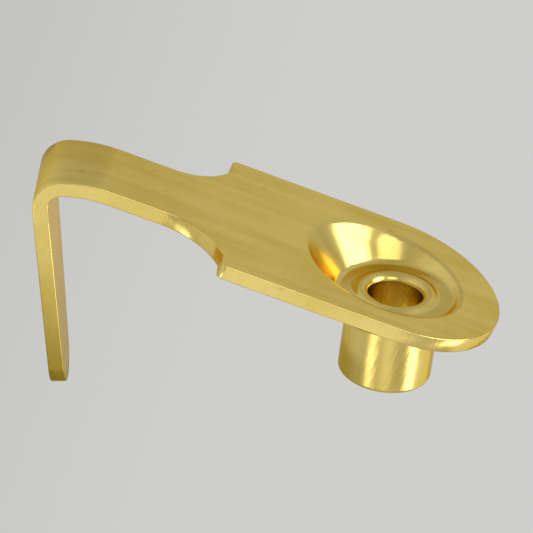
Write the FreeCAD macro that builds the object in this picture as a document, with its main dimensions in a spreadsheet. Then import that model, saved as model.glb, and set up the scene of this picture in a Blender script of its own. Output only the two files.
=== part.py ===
import FreeCAD, Part
import math
import os

import Sketcher

# Picture hook: one stamped and folded strip of thin brass plated sheet.
# A round headed plate lies on the wall. A short tube is drawn from it, leaning up,
# and guides the nail down into the wall. Below its shoulders the plate narrows to
# a strip, which folds forward and up into the tapered leg that carries the picture.
#
# +Z is up the plate to its head, -Y is the front and +Y the wall. The finished part's
# origin is the middle of the nail guide's bore. While it is drawn, the origin is where
# the guide's axis crosses the plate's front face. Millimetres and degrees.

DRIVING_SIZES = [
    ("sheet_thickness", 0.65),
    ("plate_width", 8.7),
    ("shoulder_drop", 7.7),
    ("shoulder_step", 0.9),
    ("shoulder_round", 0.25),
    ("flare_height", 2.5),
    ("strip_width", 3.7),
    ("strip_length", 6.4),
    ("bow_height", 1.6),
    ("bow_radius", 6.0),
    ("fold_inside_radius", 0.6),
    ("hook_angle", 66.0),
    ("leg_length", 9.0),
    ("leg_tip_width", 2.4),
    ("guide_outer_diameter", 3.9),
    ("guide_bore_diameter", 2.2),
    ("guide_reach", 4.0),
    ("guide_lean", 15.0),
    ("guide_root_round", 0.25),
    ("guide_entry_round", 0.35),
    ("guide_mouth_round", 0.2),
    ("guide_mouth_flare", 0.4),
    ("lip_turn", 40.0),
    ("valley_round", 0.35),
    ("seat_sink", 0.75),
    ("seat_diameter", 4.9),
    ("seat_wall_angle", 54.0),
    ("seat_inside_round", 0.35),
    ("seat_foot_round", 0.5),
    ("seat_rim_round", 0.3),
]

# The finest difference in place that counts when an edge is looked for.
NEAR = 1e-4


def fill_sheet(doc):
    """Keep each driving size once, and give it back as a plain number too."""
    sheet = doc.addObject("Spreadsheet::Sheet", "Sizes")
    for row, (name, value) in enumerate(DRIVING_SIZES, start=1):
        sheet.set(f"A{row}", name)
        sheet.set(f"B{row}", str(value))
        sheet.setAlias(f"B{row}", name)
    doc.recompute()
    return {name: float(sheet.get(name)) for name, _ in DRIVING_SIZES}


def cells(formula):
    """Turn the plain size names of a formula into cells of the sheet."""
    for name, _ in DRIVING_SIZES:
        formula = formula.replace(name, f"Sizes.{name}")
    return formula


def point(across, up):
    return FreeCAD.Vector(across, up, 0)


def polar(centre, radius, angle):
    """The point of a circle at an angle in degrees."""
    turned = math.radians(angle)
    return centre + point(radius * math.cos(turned), radius * math.sin(turned))


def cosine(angle):
    return math.cos(math.radians(angle))


def sine(angle):
    return math.sin(math.radians(angle))


def tangent(angle):
    return math.tan(math.radians(angle))


class Outline:
    """A closed outline drawn piece by piece in a sketch, each end tied to the next."""

    def __init__(self, sketch):
        self.sketch = sketch
        self.pieces = []

    def line(self, start, end, smooth=False):
        index = self.sketch.addGeometry(Part.LineSegment(start, end))
        return self._tie(index, 1, 2, smooth)

    def arc(self, centre, radius, start, end, smooth=True):
        """An arc from one angle to another, anticlockwise where the second is larger."""
        circle = Part.Circle(centre, FreeCAD.Vector(0, 0, 1), radius)
        low, high = sorted((math.radians(start), math.radians(end)))
        index = self.sketch.addGeometry(Part.ArcOfCircle(circle, low, high))
        entry, leave = (1, 2) if end > start else (2, 1)
        return self._tie(index, entry, leave, smooth)

    def close(self, smooth=False):
        first, last = self.pieces[0], self.pieces[-1]
        self._join(last[0], last[2], first[0], first[1], smooth)

    def _tie(self, index, entry, leave, smooth):
        if self.pieces:
            before = self.pieces[-1]
            self._join(before[0], before[2], index, entry, smooth)
        self.pieces.append((index, entry, leave))
        return index

    def _join(self, one, one_end, other, other_end, smooth):
        kind = "Tangent" if smooth else "Coincident"
        self.sketch.addConstraint(Sketcher.Constraint(kind, one, one_end, other, other_end))


def rule(sketch, *words):
    """A plain geometric rule, such as level, upright or on the axis."""
    sketch.addConstraint(Sketcher.Constraint(*words))


def measure(sketch, name, formula, *words):
    """A dimension of the sketch, bound to the sheet."""
    index = sketch.addConstraint(Sketcher.Constraint(*words))
    sketch.renameConstraint(index, name)
    sketch.setExpression(f"Constraints.{name}", cells(formula))


def new_sketch(body, name, role):
    sketch = body.newObject("Sketcher::SketchObject", name)
    plane = [item for item in body.Origin.OriginFeatures if item.Role == role][0]
    sketch.AttachmentSupport = [(plane, "")]
    sketch.MapMode = "FlatFace"
    return sketch


def add_rectangle(sketch, left, low, right, high):
    """A loose rectangle well clear of the metal, fixed where it is drawn."""
    frame = Outline(sketch)
    level_low = frame.line(point(left, low), point(right, low))
    upright_right = frame.line(point(right, low), point(right, high))
    level_high = frame.line(point(right, high), point(left, high))
    upright_left = frame.line(point(left, high), point(left, low))
    frame.close()
    for side in (level_low, upright_right, level_high, upright_left):
        rule(sketch, "Block", side)


def fold_places(size):
    """The bow's centre, the angle it turns through and the fold's centre."""
    straight = size["strip_length"] - size["bow_height"]
    bow_level = -size["shoulder_drop"] - straight
    bow_centre = point(size["sheet_thickness"] - size["bow_radius"], bow_level)
    outside = size["fold_inside_radius"] + size["sheet_thickness"]
    reach = size["bow_radius"] - outside
    turn = math.degrees(math.asin(size["bow_height"] / reach))
    return bow_centre, turn, polar(bow_centre, reach, -turn)


def side_profile(body, size):
    """The sheet's section: plate and strip, the bow into the fold, and the leg."""
    sketch = new_sketch(body, "SideProfile", "YZ_Plane")
    thick = size["sheet_thickness"]
    bow = size["bow_radius"]
    inside = size["fold_inside_radius"]
    outside = inside + thick
    bow_centre, turn, fold_centre = fold_places(size)
    head_top = size["plate_width"] / 2
    straight_end = size["bow_height"] - size["shoulder_drop"] - size["strip_length"]
    leg_side = size["hook_angle"] - 180
    along_leg = polar(point(0, 0), size["leg_length"], 90 + size["hook_angle"])
    leg_outer = polar(fold_centre, outside, leg_side)
    leg_inner = polar(fold_centre, inside, leg_side)

    outline = Outline(sketch)
    top = outline.line(point(0, head_top), point(thick, head_top))
    back = outline.line(point(thick, head_top), point(thick, straight_end))
    back_bow = outline.arc(bow_centre, bow, 0, -turn)
    fold_out = outline.arc(fold_centre, outside, -turn, leg_side)
    under_leg = outline.line(leg_outer, leg_outer + along_leg, smooth=True)
    leg_end = outline.line(leg_outer + along_leg, leg_inner + along_leg)
    over_leg = outline.line(leg_inner + along_leg, leg_inner)
    fold_in = outline.arc(fold_centre, inside, leg_side, -turn)
    front_bow = outline.arc(bow_centre, bow - thick, -turn, 0)
    front = outline.line(point(0, straight_end), point(0, head_top), smooth=True)
    outline.close()

    rule(sketch, "Horizontal", top)
    rule(sketch, "Vertical", back)
    rule(sketch, "Vertical", front)
    rule(sketch, "Coincident", back_bow, 3, front_bow, 3)
    rule(sketch, "Coincident", fold_out, 3, fold_in, 3)
    rule(sketch, "Perpendicular", under_leg, leg_end)
    rule(sketch, "Parallel", under_leg, over_leg)
    rule(sketch, "PointOnObject", top, 1, -2)
    measure(sketch, "head_top", "plate_width / 2", "DistanceY", -1, 1, top, 1, head_top)
    measure(sketch, "thickness", "sheet_thickness", "DistanceX", top, 1, top, 2, thick)
    measure(sketch, "straight", "shoulder_drop + strip_length - bow_height",
            "DistanceY", back, 2, -1, 1, -straight_end)
    measure(sketch, "bow", "bow_radius", "Radius", back_bow, bow)
    measure(sketch, "fold", "fold_inside_radius", "Radius", fold_in, inside)
    measure(sketch, "bow_height", "bow_height", "DistanceY", fold_in, 3, back, 2, size["bow_height"])
    measure(sketch, "leg", "leg_length", "Distance", over_leg, size["leg_length"])
    measure(sketch, "hook", "(90 + hook_angle) * 1 deg", "Angle", -1, 1, over_leg, 2,
            math.radians(90 + size["hook_angle"]))
    return sketch


def front_outline(body, size):
    """What the sheet keeps, seen from the front: head, shoulders, flares and strip."""
    sketch = new_sketch(body, "FrontOutline", "XZ_Plane")
    head = size["plate_width"] / 2
    shoulder = -size["shoulder_drop"]
    step = size["shoulder_step"]
    ledge = head - step
    strip = size["strip_width"] / 2
    flare_height = size["flare_height"]
    flare_in = ledge - strip
    flare = (flare_in ** 2 + flare_height ** 2) / (2 * flare_in)
    sweep = math.degrees(math.asin(flare_height / flare))
    flare_low = shoulder - flare_height
    drop = size["strip_length"] + 2 * (size["fold_inside_radius"] + size["sheet_thickness"])
    low = shoulder - drop
    spare = size["plate_width"]

    add_rectangle(sketch, -head - spare, low - spare, head + spare, head + spare)
    outline = Outline(sketch)
    arch = outline.arc(point(0, 0), head, 0, 180)
    left = outline.line(point(-head, 0), point(-head, shoulder), smooth=True)
    left_ledge = outline.line(point(-head, shoulder), point(-ledge, shoulder))
    left_flare = outline.arc(point(-strip - flare, flare_low), flare, sweep, 0, smooth=False)
    left_strip = outline.line(point(-strip, flare_low), point(-strip, low), smooth=True)
    foot = outline.line(point(-strip, low), point(strip, low))
    right_strip = outline.line(point(strip, low), point(strip, flare_low))
    right_flare = outline.arc(point(strip + flare, flare_low), flare, 180, 180 - sweep)
    right_ledge = outline.line(point(ledge, shoulder), point(head, shoulder))
    right = outline.line(point(head, shoulder), point(head, 0))
    outline.close(smooth=True)

    for upright in (left, right, left_strip):
        rule(sketch, "Vertical", upright)
    for level in (left_ledge, right_ledge):
        rule(sketch, "Horizontal", level)
    rule(sketch, "Coincident", arch, 3, -1, 1)
    rule(sketch, "Symmetric", left_ledge, 2, right_ledge, 1, -2)
    rule(sketch, "Symmetric", foot, 1, foot, 2, -2)
    rule(sketch, "Symmetric", left_flare, 3, right_flare, 3, -2)
    measure(sketch, "head", "plate_width / 2", "Radius", arch, head)
    measure(sketch, "shoulder", "shoulder_drop", "DistanceY", left, 2, -1, 1, -shoulder)
    measure(sketch, "step", "shoulder_step", "DistanceX", left_ledge, 1, left_ledge, 2, step)
    measure(sketch, "flare", "flare_height", "DistanceY", left_strip, 1, left_ledge, 2, flare_height)
    measure(sketch, "strip", "strip_width", "DistanceX", foot, 1, foot, 2, size["strip_width"])
    measure(sketch, "low", "strip_length + 2 * (fold_inside_radius + sheet_thickness)",
            "DistanceY", foot, 1, left_ledge, 1, drop)
    return sketch


def leg_outline(body, size):
    """What the leg keeps in its own slanted plane: sides that close in to a round tip."""
    sketch = new_sketch(body, "LegOutline", "XZ_Plane")
    _, _, fold_centre = fold_places(size)
    slant = FreeCAD.Rotation(FreeCAD.Vector(1, 0, 0), size["hook_angle"])
    place = FreeCAD.Vector(0, fold_centre.y, -fold_centre.x)
    sketch.AttachmentOffset = FreeCAD.Placement(place, slant)
    outside = "(fold_inside_radius + sheet_thickness)"
    turn = f"asin(bow_height / (bow_radius - {outside}))"
    sketch.setExpression("AttachmentOffset.Rotation.Angle", cells("hook_angle"))
    sketch.setExpression("AttachmentOffset.Base.y", cells("-shoulder_drop - strip_length"))
    sketch.setExpression("AttachmentOffset.Base.z", cells(
        f"bow_radius - sheet_thickness - (bow_radius - {outside}) * cos({turn})"))

    root = size["strip_width"] / 2
    tip = size["leg_tip_width"] / 2
    reach = size["leg_length"] - tip
    start = size["fold_inside_radius"]
    spare = size["plate_width"]
    foot_point = point(root, start)
    tip_centre = point(0, reach)
    away = tip_centre - foot_point
    lean = math.degrees(math.atan2(away.y, away.x) - math.asin(tip / away.Length)) - 90
    far = reach + spare

    outline = Outline(sketch)
    foot = outline.line(point(-root - spare, start), point(-root, start))
    left = outline.line(point(-root, start), polar(tip_centre, tip, 180 - lean))
    cap = outline.arc(tip_centre, tip, 180 - lean, lean)
    right = outline.line(polar(tip_centre, tip, lean), foot_point, smooth=True)
    other_foot = outline.line(foot_point, point(root + spare, start))
    side = outline.line(point(root + spare, start), point(root + spare, far))
    over = outline.line(point(root + spare, far), point(-root - spare, far))
    other_side = outline.line(point(-root - spare, far), point(-root - spare, start))
    outline.close()

    for level in (foot, other_foot, over):
        rule(sketch, "Horizontal", level)
    for upright in (side, other_side):
        rule(sketch, "Vertical", upright)
    rule(sketch, "PointOnObject", cap, 3, -2)
    rule(sketch, "Symmetric", left, 1, right, 2, -2)
    measure(sketch, "tip", "leg_tip_width / 2", "Radius", cap, tip)
    measure(sketch, "root", "strip_width", "DistanceX", left, 1, right, 2, 2 * root)
    measure(sketch, "start", "fold_inside_radius", "DistanceY", -1, 1, right, 2, start)
    measure(sketch, "reach", "leg_length - leg_tip_width / 2", "DistanceY", -1, 1, cap, 3, reach)
    measure(sketch, "spare", "plate_width", "DistanceX", other_foot, 1, other_foot, 2, spare)
    measure(sketch, "other_spare", "plate_width", "DistanceX", foot, 1, foot, 2, spare)
    measure(sketch, "far", "plate_width", "DistanceY", cap, 3, over, 1, spare)
    return sketch


def lean_with_guide(sketch, size):
    """Turn a sketch of the side plane until its upright axis is the guide's axis."""
    turn = FreeCAD.Rotation(FreeCAD.Vector(0, 0, 1), 90 - size["guide_lean"])
    sketch.AttachmentOffset = FreeCAD.Placement(point(0, 0), turn)
    sketch.setExpression("AttachmentOffset.Rotation.Angle", cells("90 - guide_lean"))


# The places that seat_places works out, as formulas of the sheet.
LIP = "((seat_sink - sheet_thickness) / cos(guide_lean * 1 deg))"
VALLEY = f"({LIP} + (guide_entry_round + valley_round) * (1 - cos(lip_turn * 1 deg)))"
SEAT_LOW = "(seat_diameter / 2 + sheet_thickness)"
ROUND_IN = "(seat_diameter / 2 - seat_inside_round * tan(seat_wall_angle * 0.5 deg))"


def seat_places(size):
    """Levels along the guide's axis of the bore's lip, the valley round it and the lowest cut,
    and how far from the axis the round into the seat's wall is centred."""
    lip = (size["seat_sink"] - size["sheet_thickness"]) / cosine(size["guide_lean"])
    rounds = size["guide_entry_round"] + size["valley_round"]
    valley = lip + rounds * (1 - cosine(size["lip_turn"]))
    low = -(size["seat_diameter"] / 2 + size["sheet_thickness"])
    half_wall = tangent(size["seat_wall_angle"] / 2)
    round_in = size["seat_diameter"] / 2 - size["seat_inside_round"] * half_wall
    return lip, valley, low, round_in


def seat_metal(body, size):
    """The guide's tube and the front of its tilted seat, in section beside the axis."""
    sketch = new_sketch(body, "SeatMetal", "YZ_Plane")
    lean_with_guide(sketch, size)
    _, valley, low, round_in = seat_places(size)
    face = valley + size["sheet_thickness"]
    mouth = size["guide_reach"]
    tube = size["guide_outer_diameter"] / 2
    root = size["guide_root_round"]
    slope = size["seat_wall_angle"]
    bend = size["seat_inside_round"] + size["sheet_thickness"]
    bend_centre = point(round_in, face - bend)
    wall_top = polar(bend_centre, bend, 90 - slope)
    wall_low = point(wall_top.x + (wall_top.y - low) / tangent(slope), low)

    outline = Outline(sketch)
    axis = outline.line(point(0, low), point(0, mouth))
    top = outline.line(point(0, mouth), point(tube, mouth))
    side = outline.line(point(tube, mouth), point(tube, face + root))
    fillet = outline.arc(point(tube + root, face + root), root, 180, 270)
    front = outline.line(point(tube + root, face), point(round_in, face), smooth=True)
    shoulder = outline.arc(bend_centre, bend, 90, 90 - slope)
    wall = outline.line(wall_top, wall_low, smooth=True)
    base = outline.line(wall_low, point(0, low))
    outline.close()

    rule(sketch, "PointOnObject", axis, 1, -2)
    rule(sketch, "PointOnObject", axis, 2, -2)
    rule(sketch, "Vertical", side)
    for level in (top, front, base):
        rule(sketch, "Horizontal", level)
    measure(sketch, "mouth", "guide_reach", "DistanceY", -1, 1, axis, 2, mouth)
    measure(sketch, "low", SEAT_LOW, "DistanceY", axis, 1, -1, 1, -low)
    measure(sketch, "tube", "guide_outer_diameter / 2", "DistanceX", -1, 1, side, 1, tube)
    measure(sketch, "root", "guide_root_round", "Radius", fillet, root)
    measure(sketch, "face", f"{VALLEY} + sheet_thickness", "DistanceY", -1, 1, front, 1, face)
    measure(sketch, "bend", "seat_inside_round + sheet_thickness", "Radius", shoulder, bend)
    measure(sketch, "round_in", ROUND_IN, "DistanceX", -1, 1, shoulder, 3, round_in)
    measure(sketch, "slope", "(360 - seat_wall_angle) * 1 deg", "Angle", -1, 1, wall, 1,
            math.radians(360 - slope))
    return sketch


def seat_hollow(body, size):
    """The bore and the hollow behind the seat, in section beside the axis."""
    sketch = new_sketch(body, "SeatHollow", "YZ_Plane")
    lean_with_guide(sketch, size)
    lip_level, valley_level, low, round_in = seat_places(size)
    bore = size["guide_bore_diameter"] / 2
    entry = size["guide_entry_round"]
    turn = size["lip_turn"]
    rounds = entry + size["valley_round"]
    past = size["guide_reach"] + size["sheet_thickness"]
    slope = size["seat_wall_angle"]
    bend = size["seat_inside_round"]
    bend_centre = point(round_in, valley_level - bend)
    wall_top = polar(bend_centre, bend, 90 - slope)
    wall_low = point(wall_top.x + (wall_top.y - low) / tangent(slope), low)
    lip_centre = point(bore + entry, lip_level + entry)
    valley_centre = polar(lip_centre, rounds, 270 + turn)

    outline = Outline(sketch)
    axis = outline.line(point(0, low), point(0, past))
    top = outline.line(point(0, past), point(bore, past))
    side = outline.line(point(bore, past), point(bore, lip_centre.y))
    lip = outline.arc(lip_centre, entry, 180, 270 + turn)
    valley = outline.arc(valley_centre, size["valley_round"], 90 + turn, 90)
    valley_end = point(valley_centre.x, valley_level)
    ground = outline.line(valley_end, point(round_in, valley_level), smooth=True)
    corner = outline.arc(bend_centre, bend, 90, 90 - slope)
    wall = outline.line(wall_top, wall_low, smooth=True)
    base = outline.line(wall_low, point(0, low))
    outline.close()

    rule(sketch, "PointOnObject", axis, 1, -2)
    rule(sketch, "PointOnObject", axis, 2, -2)
    rule(sketch, "Vertical", side)
    for level in (top, ground, base):
        rule(sketch, "Horizontal", level)
    measure(sketch, "past", "guide_reach + sheet_thickness", "DistanceY", -1, 1, axis, 2, past)
    measure(sketch, "low", SEAT_LOW, "DistanceY", axis, 1, -1, 1, -low)
    measure(sketch, "bore", "guide_bore_diameter / 2", "DistanceX", -1, 1, side, 1, bore)
    measure(sketch, "entry", "guide_entry_round", "Radius", lip, entry)
    measure(sketch, "lip", f"{LIP} + guide_entry_round", "DistanceY", -1, 1, lip, 3, lip_centre.y)
    measure(sketch, "valley", "valley_round", "Radius", valley, size["valley_round"])
    measure(sketch, "ground", VALLEY, "DistanceY", -1, 1, ground, 1, valley_level)
    measure(sketch, "bend", "seat_inside_round", "Radius", corner, bend)
    measure(sketch, "round_in", ROUND_IN, "DistanceX", -1, 1, corner, 3, round_in)
    measure(sketch, "slope", "(360 - seat_wall_angle) * 1 deg", "Angle", -1, 1, wall, 1,
            math.radians(360 - slope))
    return sketch


def wall_side(body, size):
    """The field behind the plate, where nothing of the seat may stand proud."""
    sketch = new_sketch(body, "WallSide", "XZ_Plane")
    sketch.AttachmentOffset = FreeCAD.Placement(
        FreeCAD.Vector(0, 0, -size["sheet_thickness"]), FreeCAD.Rotation())
    sketch.setExpression("AttachmentOffset.Base.z", cells("-sheet_thickness"))
    spare = size["plate_width"]
    add_rectangle(sketch, -2 * spare, -size["shoulder_drop"], 2 * spare, 2 * spare)
    return sketch


def pad_or_pocket(body, kind, name, sketch, formula, both_ways):
    feature = body.newObject(f"PartDesign::{kind}", name)
    feature.Profile = sketch
    feature.Type = "Length"
    feature.SideType = "Symmetric" if both_ways else "One side"
    feature.setExpression("Length", cells(formula))
    return feature


def turn_about_guide(body, kind, name, sketch):
    feature = body.newObject(f"PartDesign::{kind}", name)
    feature.Profile = sketch
    feature.ReferenceAxis = (sketch, ["V_Axis"])
    feature.Angle = 360
    return feature


def round_edges(body, name, base, formula, wanted):
    """Round the edges of the solid so far that a test picks out."""
    edges = enumerate(base.Shape.Edges, start=1)
    names = [f"Edge{number}" for number, edge in edges if wanted(edge)]
    if not names:
        raise RuntimeError(f"{name} finds no edge to round")
    feature = body.newObject("PartDesign::Fillet", name)
    feature.Base = (base, names)
    feature.setExpression("Radius", cells(formula))
    return feature


def ends_at(edge, test):
    return all(test(vertex.Point) for vertex in edge.Vertexes)


def stands_across(size):
    """Edges that cross the sheet at the outer corners of its shoulders."""
    def wanted(edge):
        def at_corner(place):
            outer = abs(abs(place.x) - size["plate_width"] / 2) < NEAR
            return outer and abs(place.z + size["shoulder_drop"]) < NEAR
        return ends_at(edge, at_corner)
    return wanted


def lies_in_plate_face(level, size):
    """Edges of the seat that lie in one face of the plate, inside its outline."""
    def wanted(edge):
        box = edge.BoundBox
        in_face = abs(box.YMin - level) < NEAR and abs(box.YMax - level) < NEAR
        half = size["plate_width"] / 2 - NEAR
        inner = -half < box.XMin and box.XMax < half
        return in_face and inner and box.ZMin > NEAR - size["shoulder_drop"]
    return wanted


def foot_of_seat(size):
    """The long edge where the seat's swelling meets the front of the plate."""
    in_front = lies_in_plate_face(0, size)

    def wanted(edge):
        return isinstance(edge.Curve, Part.Ellipse) and in_front(edge)
    return wanted


def circles_mouth(size, diameter):
    """The circle of one diameter at the guide's mouth."""
    lean = size["guide_lean"]
    mouth = FreeCAD.Vector(0, -cosine(lean), sine(lean)) * size["guide_reach"]

    def wanted(edge):
        curve = edge.Curve
        if not isinstance(curve, Part.Circle):
            return False
        return (curve.Center - mouth).Length < NEAR and abs(2 * curve.Radius - diameter) < NEAR
    return wanted


def check_cut(doc, before, after):
    doc.recompute()
    if after.Shape.Volume > before.Shape.Volume - NEAR:
        raise RuntimeError(f"{after.Name} cuts nothing")


def picture_hook(doc, size):
    body = doc.addObject("PartDesign::Body", "PictureHook")
    body.Label = "picture_hook"

    strip = pad_or_pocket(body, "Pad", "FoldedStrip", side_profile(body, size), "plate_width", True)
    doc.recompute()
    blank = pad_or_pocket(body, "Pocket", "Blank", front_outline(body, size), "4 * plate_width", True)
    check_cut(doc, strip, blank)
    leg = pad_or_pocket(body, "Pocket", "TaperedLeg", leg_outline(body, size),
                        "2.2 * (fold_inside_radius + sheet_thickness)", True)
    check_cut(doc, blank, leg)
    corners = round_edges(body, "ShoulderCorners", leg, "shoulder_round", stands_across(size))
    doc.recompute()

    guide = turn_about_guide(body, "Revolution", "NailGuide", seat_metal(body, size))
    doc.recompute()
    flush = pad_or_pocket(body, "Pocket", "FlushBack", wall_side(body, size), "2 * plate_width", False)
    check_cut(doc, guide, flush)
    hollow = turn_about_guide(body, "Groove", "BoreAndHollow", seat_hollow(body, size))
    check_cut(doc, flush, hollow)

    thick = size["sheet_thickness"]
    rim = round_edges(body, "HollowRim", hollow, "seat_rim_round", lies_in_plate_face(thick, size))
    doc.recompute()
    foot = round_edges(body, "SeatFoot", rim, "seat_foot_round", foot_of_seat(size))
    doc.recompute()
    mouth = round_edges(body, "MouthEdge", foot, "guide_mouth_round",
                        circles_mouth(size, size["guide_outer_diameter"]))
    doc.recompute()
    flare = round_edges(body, "MouthFlare", mouth, "guide_mouth_flare",
                        circles_mouth(size, size["guide_bore_diameter"]))
    doc.recompute()
    body.Tip = flare

    middle = f"(({LIP} + guide_entry_round + guide_reach - guide_mouth_flare) / 2)"
    body.setExpression("Placement.Base.y", cells(f"{middle} * cos(guide_lean * 1 deg)"))
    body.setExpression("Placement.Base.z", cells(f"-{middle} * sin(guide_lean * 1 deg)"))
    return body


def check(doc, parts):
    for item in doc.Objects:
        if "Invalid" in item.State or "Error" in item.State:
            raise RuntimeError(f"{item.Name} failed: {item.State}")
    for part in parts:
        if part.Shape.isNull() or not part.Shape.isValid():
            raise RuntimeError(f"{part.Label} has no valid shape")
        if len(part.Shape.Solids) != 1:
            raise RuntimeError(f"{part.Label} is not one solid")


def main():
    doc = FreeCAD.newDocument("PictureHook")
    size = fill_sheet(doc)
    parts = [picture_hook(doc, size)]
    doc.recompute()
    check(doc, parts)
    os.makedirs("parts", exist_ok=True)
    for part in parts:
        part.Shape.exportStep(f"parts/{part.Label}.step")


main()
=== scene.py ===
import math

import bpy
from mathutils import Matrix, Vector


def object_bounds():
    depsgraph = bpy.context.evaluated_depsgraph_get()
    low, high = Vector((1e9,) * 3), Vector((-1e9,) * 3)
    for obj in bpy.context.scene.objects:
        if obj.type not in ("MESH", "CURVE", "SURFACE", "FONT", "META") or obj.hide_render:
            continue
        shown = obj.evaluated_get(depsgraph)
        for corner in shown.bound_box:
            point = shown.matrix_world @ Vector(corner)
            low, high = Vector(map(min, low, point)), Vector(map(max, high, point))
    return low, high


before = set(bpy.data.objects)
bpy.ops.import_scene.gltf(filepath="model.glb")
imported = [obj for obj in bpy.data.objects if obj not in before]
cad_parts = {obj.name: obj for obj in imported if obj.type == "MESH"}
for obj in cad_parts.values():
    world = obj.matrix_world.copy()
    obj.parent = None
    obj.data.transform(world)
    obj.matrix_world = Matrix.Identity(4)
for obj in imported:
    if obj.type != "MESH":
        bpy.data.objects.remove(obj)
cad_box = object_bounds()
middle = (Vector(cad_box[0]) + Vector(cad_box[1])) / 2
MM = 0.001

# Colours of the plating, as linear red, green and blue. BROWN_BRASS serves for random specks and for
# painted shade and a painted dark reflection; DARK_BRASS is painted shade at the leg's tip.
PALE_BRASS = (0.83, 0.66, 0.21)
DEEP_BRASS = (0.71, 0.53, 0.13)
BROWN_BRASS = (0.36, 0.255, 0.028)
DARK_BRASS = (0.20, 0.155, 0.02)
GRAZING_GOLD = (1.0, 0.80, 0.42)
SMOOTHEST = 0.07

# Places along Y, forward of the plate, where a change of colour starts and where it is full. All
# three are painted light and shade: painted shade browning the leg, painted shade darkening its tip,
# and a painted dark reflection under the guide.
LEG_BROWN_FROM = -0.4 * MM
LEG_BROWN_FULL = -6.9 * MM
TIP_DARK_FROM = -6.6 * MM
TIP_DARK_FULL = -7.6 * MM
PAINTED_REFLECTION_FROM = -0.6 * MM
PAINTED_REFLECTION_FULL = -1.4 * MM

# How often a pattern repeats along X, Y and Z, per metre. It is drawn out along the small numbers.
BAND_REPEATS = (1700.0, 110.0, 110.0)
ROLLED_REPEATS = (9000.0, 260.0, 260.0)
RUBBED_REPEATS = (1500.0, 7000.0, 7000.0)
SHEARED_REPEATS = (6500.0, 500.0, 6500.0)

# The rounding of the outline's edges. Seen from the front, the whole outline is further than
# OUTLINE_FROM from the middle of the nail's bore.
EDGE_ROUND = 0.06 * MM
EDGE_ROUND_SEGMENTS = 3
OUTLINE_FROM = 3.3 * MM
SHARP_ANGLE = math.radians(40)
JOIN_WITHIN = 0.017 * MM
FLAT_ANGLE = math.radians(0.2)

# The floor, and the colours of the room from the horizon up.
FLOOR_PAPER = (0.90, 0.90, 0.885)
FLOOR_ROUGHNESS = 0.85
HORIZON = (0.50, 0.50, 0.49)
WALL = (0.62, 0.62, 0.61)
CEILING = (0.50, 0.50, 0.50)
FLOOR_LEVEL = -0.300
FLOOR_SIZE = 40.0

# The photo's line of sight, and the direction in the frame that runs to the right across the photo.
SIGHT = (0.8647, -0.4800, 0.1480)
PHOTO_RIGHT = (0.0435, 0.3651, 0.9299)
CAMERA_DISTANCE = 0.150
CAMERA_LENS = 245
CAMERA_SENSOR = 36

# Where the camera aims, from the middle of the hook's box: along Y, then across and up the photo.
AIM_ALONG_Y = 0.6 * MM
AIM_ACROSS = 1.2 * MM
AIM_UP = 2.1 * MM


# node helpers

def node(tree, kind, **settings):
    made = tree.nodes.new(kind)
    for key, value in settings.items():
        setattr(made, key, value)
    return made


def feed(tree, socket, value):
    if isinstance(value, (int, float)):
        socket.default_value = value
    elif isinstance(value, tuple):
        socket.default_value = (*value, 1)
    else:
        tree.links.new(value, socket)


def maths(tree, operation, *values):
    made = node(tree, "ShaderNodeMath", operation=operation)
    for socket, value in zip(made.inputs, values):
        feed(tree, socket, value)
    return made.outputs[0]


def axes(tree, vector):
    """The X, Y and Z of a vector socket, by name."""
    made = node(tree, "ShaderNodeSeparateXYZ")
    tree.links.new(vector, made.inputs[0])
    return made.outputs


def smooth_step(tree, value, low, high):
    """0 below low, 1 above high; the other way round where low is the larger."""
    made = node(tree, "ShaderNodeMapRange", interpolation_type="SMOOTHSTEP")
    feed(tree, made.inputs["Value"], value)
    flipped = low > high
    made.inputs["From Min"].default_value = min(low, high)
    made.inputs["From Max"].default_value = max(low, high)
    made.inputs["To Min"].default_value = 1.0 if flipped else 0.0
    made.inputs["To Max"].default_value = 0.0 if flipped else 1.0
    return made.outputs["Result"]


def blend_colour(tree, share, first, second):
    """From the first colour, at share 0, to the second, at share 1."""
    made = node(tree, "ShaderNodeMix", data_type="RGBA")
    first_colour = made.inputs[6]
    second_colour = made.inputs[7]
    feed(tree, made.inputs["Factor"], share)
    feed(tree, first_colour, first)
    feed(tree, second_colour, second)
    return made.outputs[2]


def noise(tree, place, scale, detail, rough=0.55):
    made = node(tree, "ShaderNodeTexNoise")
    made.inputs["Scale"].default_value = scale
    made.inputs["Detail"].default_value = detail
    made.inputs["Roughness"].default_value = rough
    tree.links.new(place, made.inputs["Vector"])
    return made.outputs["Fac"]


def drawn_out_noise(tree, place, repeats, detail):
    mapping = node(tree, "ShaderNodeMapping")
    mapping.inputs["Scale"].default_value = repeats
    tree.links.new(place, mapping.inputs["Vector"])
    return noise(tree, mapping.outputs["Vector"], 1.0, detail)


def new_material(name):
    material = bpy.data.materials.new(name)
    material.use_nodes = True
    tree = material.node_tree
    tree.nodes.clear()
    out = node(tree, "ShaderNodeOutputMaterial")
    shader = node(tree, "ShaderNodeBsdfPrincipled")
    tree.links.new(shader.outputs["BSDF"], out.inputs["Surface"])
    return material, shader


# brass plating

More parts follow.
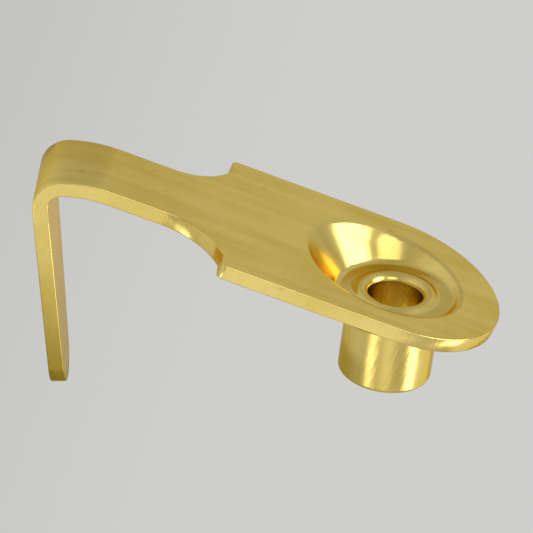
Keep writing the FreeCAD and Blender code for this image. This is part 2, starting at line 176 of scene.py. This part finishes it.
def plating_colour(tree, place, facing, bands, tip):
    """Bands along the rolling and random specks; painted shade browning the leg and darkening its
    tip, and a painted dark reflection under the guide.
    """
    forward = axes(tree, place)["Y"]
    cloud = noise(tree, place, 260.0, detail=5.0)
    mottle = maths(tree, "MULTIPLY_ADD", bands, 0.5, maths(tree, "MULTIPLY", cloud, 0.5))
    colour = blend_colour(tree, smooth_step(tree, mottle, 0.32, 0.68), DEEP_BRASS, PALE_BRASS)

    # painted shade: the leg turns brown towards its end, as if in shadow
    down_leg = smooth_step(tree, forward, LEG_BROWN_FROM, LEG_BROWN_FULL)
    colour = blend_colour(tree, maths(tree, "MULTIPLY", down_leg, 0.95), colour, BROWN_BRASS)

    # painted dark reflection: downward faces forward of the plate, under the guide, are browned as if
    # mirroring dark surroundings
    looks_down = smooth_step(tree, facing["Z"], -0.20, -0.80)
    stands_out = smooth_step(tree, forward, PAINTED_REFLECTION_FROM, PAINTED_REFLECTION_FULL)
    painted_reflection = maths(tree, "MULTIPLY", maths(tree, "MULTIPLY", looks_down, stands_out), 0.55)
    colour = blend_colour(tree, painted_reflection, colour, BROWN_BRASS)

    fleck = noise(tree, place, 2600.0, detail=3.0)
    spots = smooth_step(tree, fleck, 0.66, 0.76)
    colour = blend_colour(tree, maths(tree, "MULTIPLY", spots, 0.30), colour, BROWN_BRASS)
    # painted shade: the leg's tip is darkened
    return blend_colour(tree, maths(tree, "MULTIPLY", tip, 0.90), colour, DARK_BRASS)


def plating_roughness(tree, place, bands, side, tip):
    rough = SMOOTHEST
    haze = noise(tree, place, 700.0, detail=6.0, rough=0.6)
    for pattern, amount in ((haze, 0.16), (bands, 0.08), (side, 0.10), (tip, 0.12)):
        rough = maths(tree, "MULTIPLY_ADD", pattern, amount, rough)
    return rough


def plating_height(tree, place, side):
    """Slight dents, rolling lines, rub marks and shear streaks, in millimetres."""
    dented = noise(tree, place, 330.0, detail=1.0)
    rolled = drawn_out_noise(tree, place, ROLLED_REPEATS, detail=3.0)
    rubbed = drawn_out_noise(tree, place, RUBBED_REPEATS, detail=2.0)
    sheared = drawn_out_noise(tree, place, SHEARED_REPEATS, detail=3.0)
    streaks = maths(tree, "MULTIPLY", sheared, side)
    height = 0.0
    for pattern, depth in ((dented, 0.020), (rolled, 0.0016), (rubbed, 0.0010), (streaks, 0.012)):
        height = maths(tree, "MULTIPLY_ADD", pattern, depth, height)
    return height


def brass_plate():
    """Thin bright plating on stamped sheet."""
    material, shader = new_material("brass_plate")
    tree = material.node_tree
    place = node(tree, "ShaderNodeTexCoord").outputs["Object"]
    facing = axes(tree, node(tree, "ShaderNodeNewGeometry").outputs["True Normal"])
    bands = drawn_out_noise(tree, place, BAND_REPEATS, detail=2.0)
    # the leg's end: it carries painted shade in the colour and a rougher finish
    tip = smooth_step(tree, axes(tree, place)["Y"], TIP_DARK_FROM, TIP_DARK_FULL)

    # the straight sheared edges look along X; so do the flanks of the tube and the hollow, which
    # take the same marks
    side = smooth_step(tree, maths(tree, "ABSOLUTE", facing["X"]), 0.80, 0.97)

    bump = node(tree, "ShaderNodeBump")
    bump.inputs["Strength"].default_value = 1.0
    bump.inputs["Distance"].default_value = MM
    tree.links.new(plating_height(tree, place, side), bump.inputs["Height"])

    shader.inputs["Metallic"].default_value = 1.0
    feed(tree, shader.inputs["Specular Tint"], GRAZING_GOLD)
    feed(tree, shader.inputs["Base Color"], plating_colour(tree, place, facing, bands, tip))
    feed(tree, shader.inputs["Roughness"], plating_roughness(tree, place, bands, side, tip))
    feed(tree, shader.inputs["Normal"], bump.outputs["Normal"])
    return material


# rounding of the sheared edges

def outline_edges():
    """Marks the sharp edges of the outline for the rounding, and leaves out those near the bore."""
    group = bpy.data.node_groups.new("outline_edges", "GeometryNodeTree")
    group.interface.new_socket("Geometry", in_out="INPUT", socket_type="NodeSocketGeometry")
    group.interface.new_socket("Geometry", in_out="OUTPUT", socket_type="NodeSocketGeometry")
    place = axes(group, node(group, "GeometryNodeInputPosition").outputs["Position"])
    seen_from_front = node(group, "ShaderNodeCombineXYZ")
    group.links.new(place["X"], seen_from_front.inputs["X"])
    group.links.new(place["Z"], seen_from_front.inputs["Z"])
    from_bore = node(group, "ShaderNodeVectorMath", operation="LENGTH")
    group.links.new(seen_from_front.outputs[0], from_bore.inputs[0])
    outside = maths(group, "GREATER_THAN", from_bore.outputs["Value"], OUTLINE_FROM)
    angle = node(group, "GeometryNodeInputMeshEdgeAngle").outputs["Unsigned Angle"]
    sharp = maths(group, "GREATER_THAN", angle, SHARP_ANGLE)
    mark = node(group, "GeometryNodeStoreNamedAttribute", data_type="FLOAT", domain="EDGE")
    mark.inputs["Name"].default_value = "bevel_weight_edge"
    group.links.new(node(group, "NodeGroupInput").outputs[0], mark.inputs["Geometry"])
    group.links.new(maths(group, "MULTIPLY", outside, sharp), mark.inputs["Value"])
    group.links.new(mark.outputs["Geometry"], node(group, "NodeGroupOutput").inputs[0])
    return group


def round_outline(hook):
    """Joins the faces and makes the flats whole, so that no tiny edge limits the rounding."""
    join = hook.modifiers.new("join_faces", "WELD")
    join.merge_threshold = JOIN_WITHIN
    flats = hook.modifiers.new("whole_flats", "DECIMATE")
    flats.decimate_type = "DISSOLVE"
    flats.angle_limit = FLAT_ANGLE
    marks = hook.modifiers.new("outline_edges", "NODES")
    marks.node_group = outline_edges()
    edges = hook.modifiers.new("soft_edges", "BEVEL")
    edges.width = EDGE_ROUND
    edges.segments = EDGE_ROUND_SEGMENTS
    edges.limit_method = "WEIGHT"
    edges.harden_normals = True


# stage: pale floor, pale room, soft lamps

def lay_floor():
    material, shader = new_material("floor_paper")
    feed(material.node_tree, shader.inputs["Base Color"], FLOOR_PAPER)
    shader.inputs["Roughness"].default_value = FLOOR_ROUGHNESS
    bpy.ops.mesh.primitive_plane_add(size=FLOOR_SIZE, location=(0, 0, FLOOR_LEVEL))
    floor = bpy.context.object
    floor.name = "floor"
    floor.data.materials.append(material)


def studio_room():
    """A pale room, nearly as bright at the horizon as the floor. Height is 0 there and 1 overhead."""
    world = bpy.data.worlds.new("studio")
    bpy.context.scene.world = world
    world.use_nodes = True
    tree = world.node_tree
    background = tree.nodes["Background"]
    background.inputs["Strength"].default_value = 1.0
    height = axes(tree, node(tree, "ShaderNodeTexCoord").outputs["Generated"])["Z"]
    walls = blend_colour(tree, smooth_step(tree, height, -0.02, 0.16), HORIZON, WALL)
    room = blend_colour(tree, smooth_step(tree, height, 0.20, 0.90), walls, CEILING)
    tree.links.new(room, background.inputs["Color"])


def softbox(name, direction, distance, size, brightness):
    """A round soft lamp. Its brightness is what it adds to the room, as a mirror shows it."""
    lamp = bpy.data.lights.new(name, "AREA")
    lamp.shape = "DISK"
    lamp.size = size
    lamp.energy = brightness * math.pi * math.pi * size * size / 4
    item = bpy.data.objects.new(name, lamp)
    bpy.context.collection.objects.link(item)
    item.location = middle + Vector(direction).normalized() * distance
    item.rotation_euler = (middle - item.location).to_track_quat("-Z", "Y").to_euler()


def photo_camera():
    """A camera that looks along the photo's line of sight and is turned with the photo."""
    forward = Vector(SIGHT).normalized()
    right = Vector(PHOTO_RIGHT).normalized()
    right = (right - forward * right.dot(forward)).normalized()
    up = right.cross(forward).normalized()
    camera_data = bpy.data.cameras.new("camera")
    camera_data.lens = CAMERA_LENS
    camera_data.sensor_width = CAMERA_SENSOR
    camera_data.clip_start = 0.001
    camera = bpy.data.objects.new("camera", camera_data)
    bpy.context.collection.objects.link(camera)
    aim = middle + Vector((0, AIM_ALONG_Y, 0)) + right * AIM_ACROSS + up * AIM_UP
    turn = Matrix((right, up, -forward)).transposed()
    camera.matrix_world = Matrix.Translation(aim - forward * CAMERA_DISTANCE) @ turn.to_4x4()
    bpy.context.scene.camera = camera


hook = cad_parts["picture_hook"]
hook.data.materials.clear()
hook.data.materials.append(brass_plate())
round_outline(hook)

lay_floor()
studio_room()

# each lamp's name, direction from the hook, distance, size and brightness
softbox("key", (-0.33, -0.28, 0.90), 0.40, 0.15, 3.4)
softbox("side", (-0.86, -0.48, 0.15), 0.40, 0.22, 0.45)
softbox("overhead", (0.25, -0.20, 0.95), 0.60, 0.60, 0.40)
softbox("low", (-0.69, -0.62, -0.37), 0.20, 0.060, 2.8)
softbox("rear_high", (-0.14, 0.67, 0.73), 0.40, 0.32, 2.8)
softbox("rear", (-0.70, 0.66, 0.10), 0.40, 0.24, 1.3)

photo_camera()
bpy.context.scene.view_settings.view_transform = "Standard"
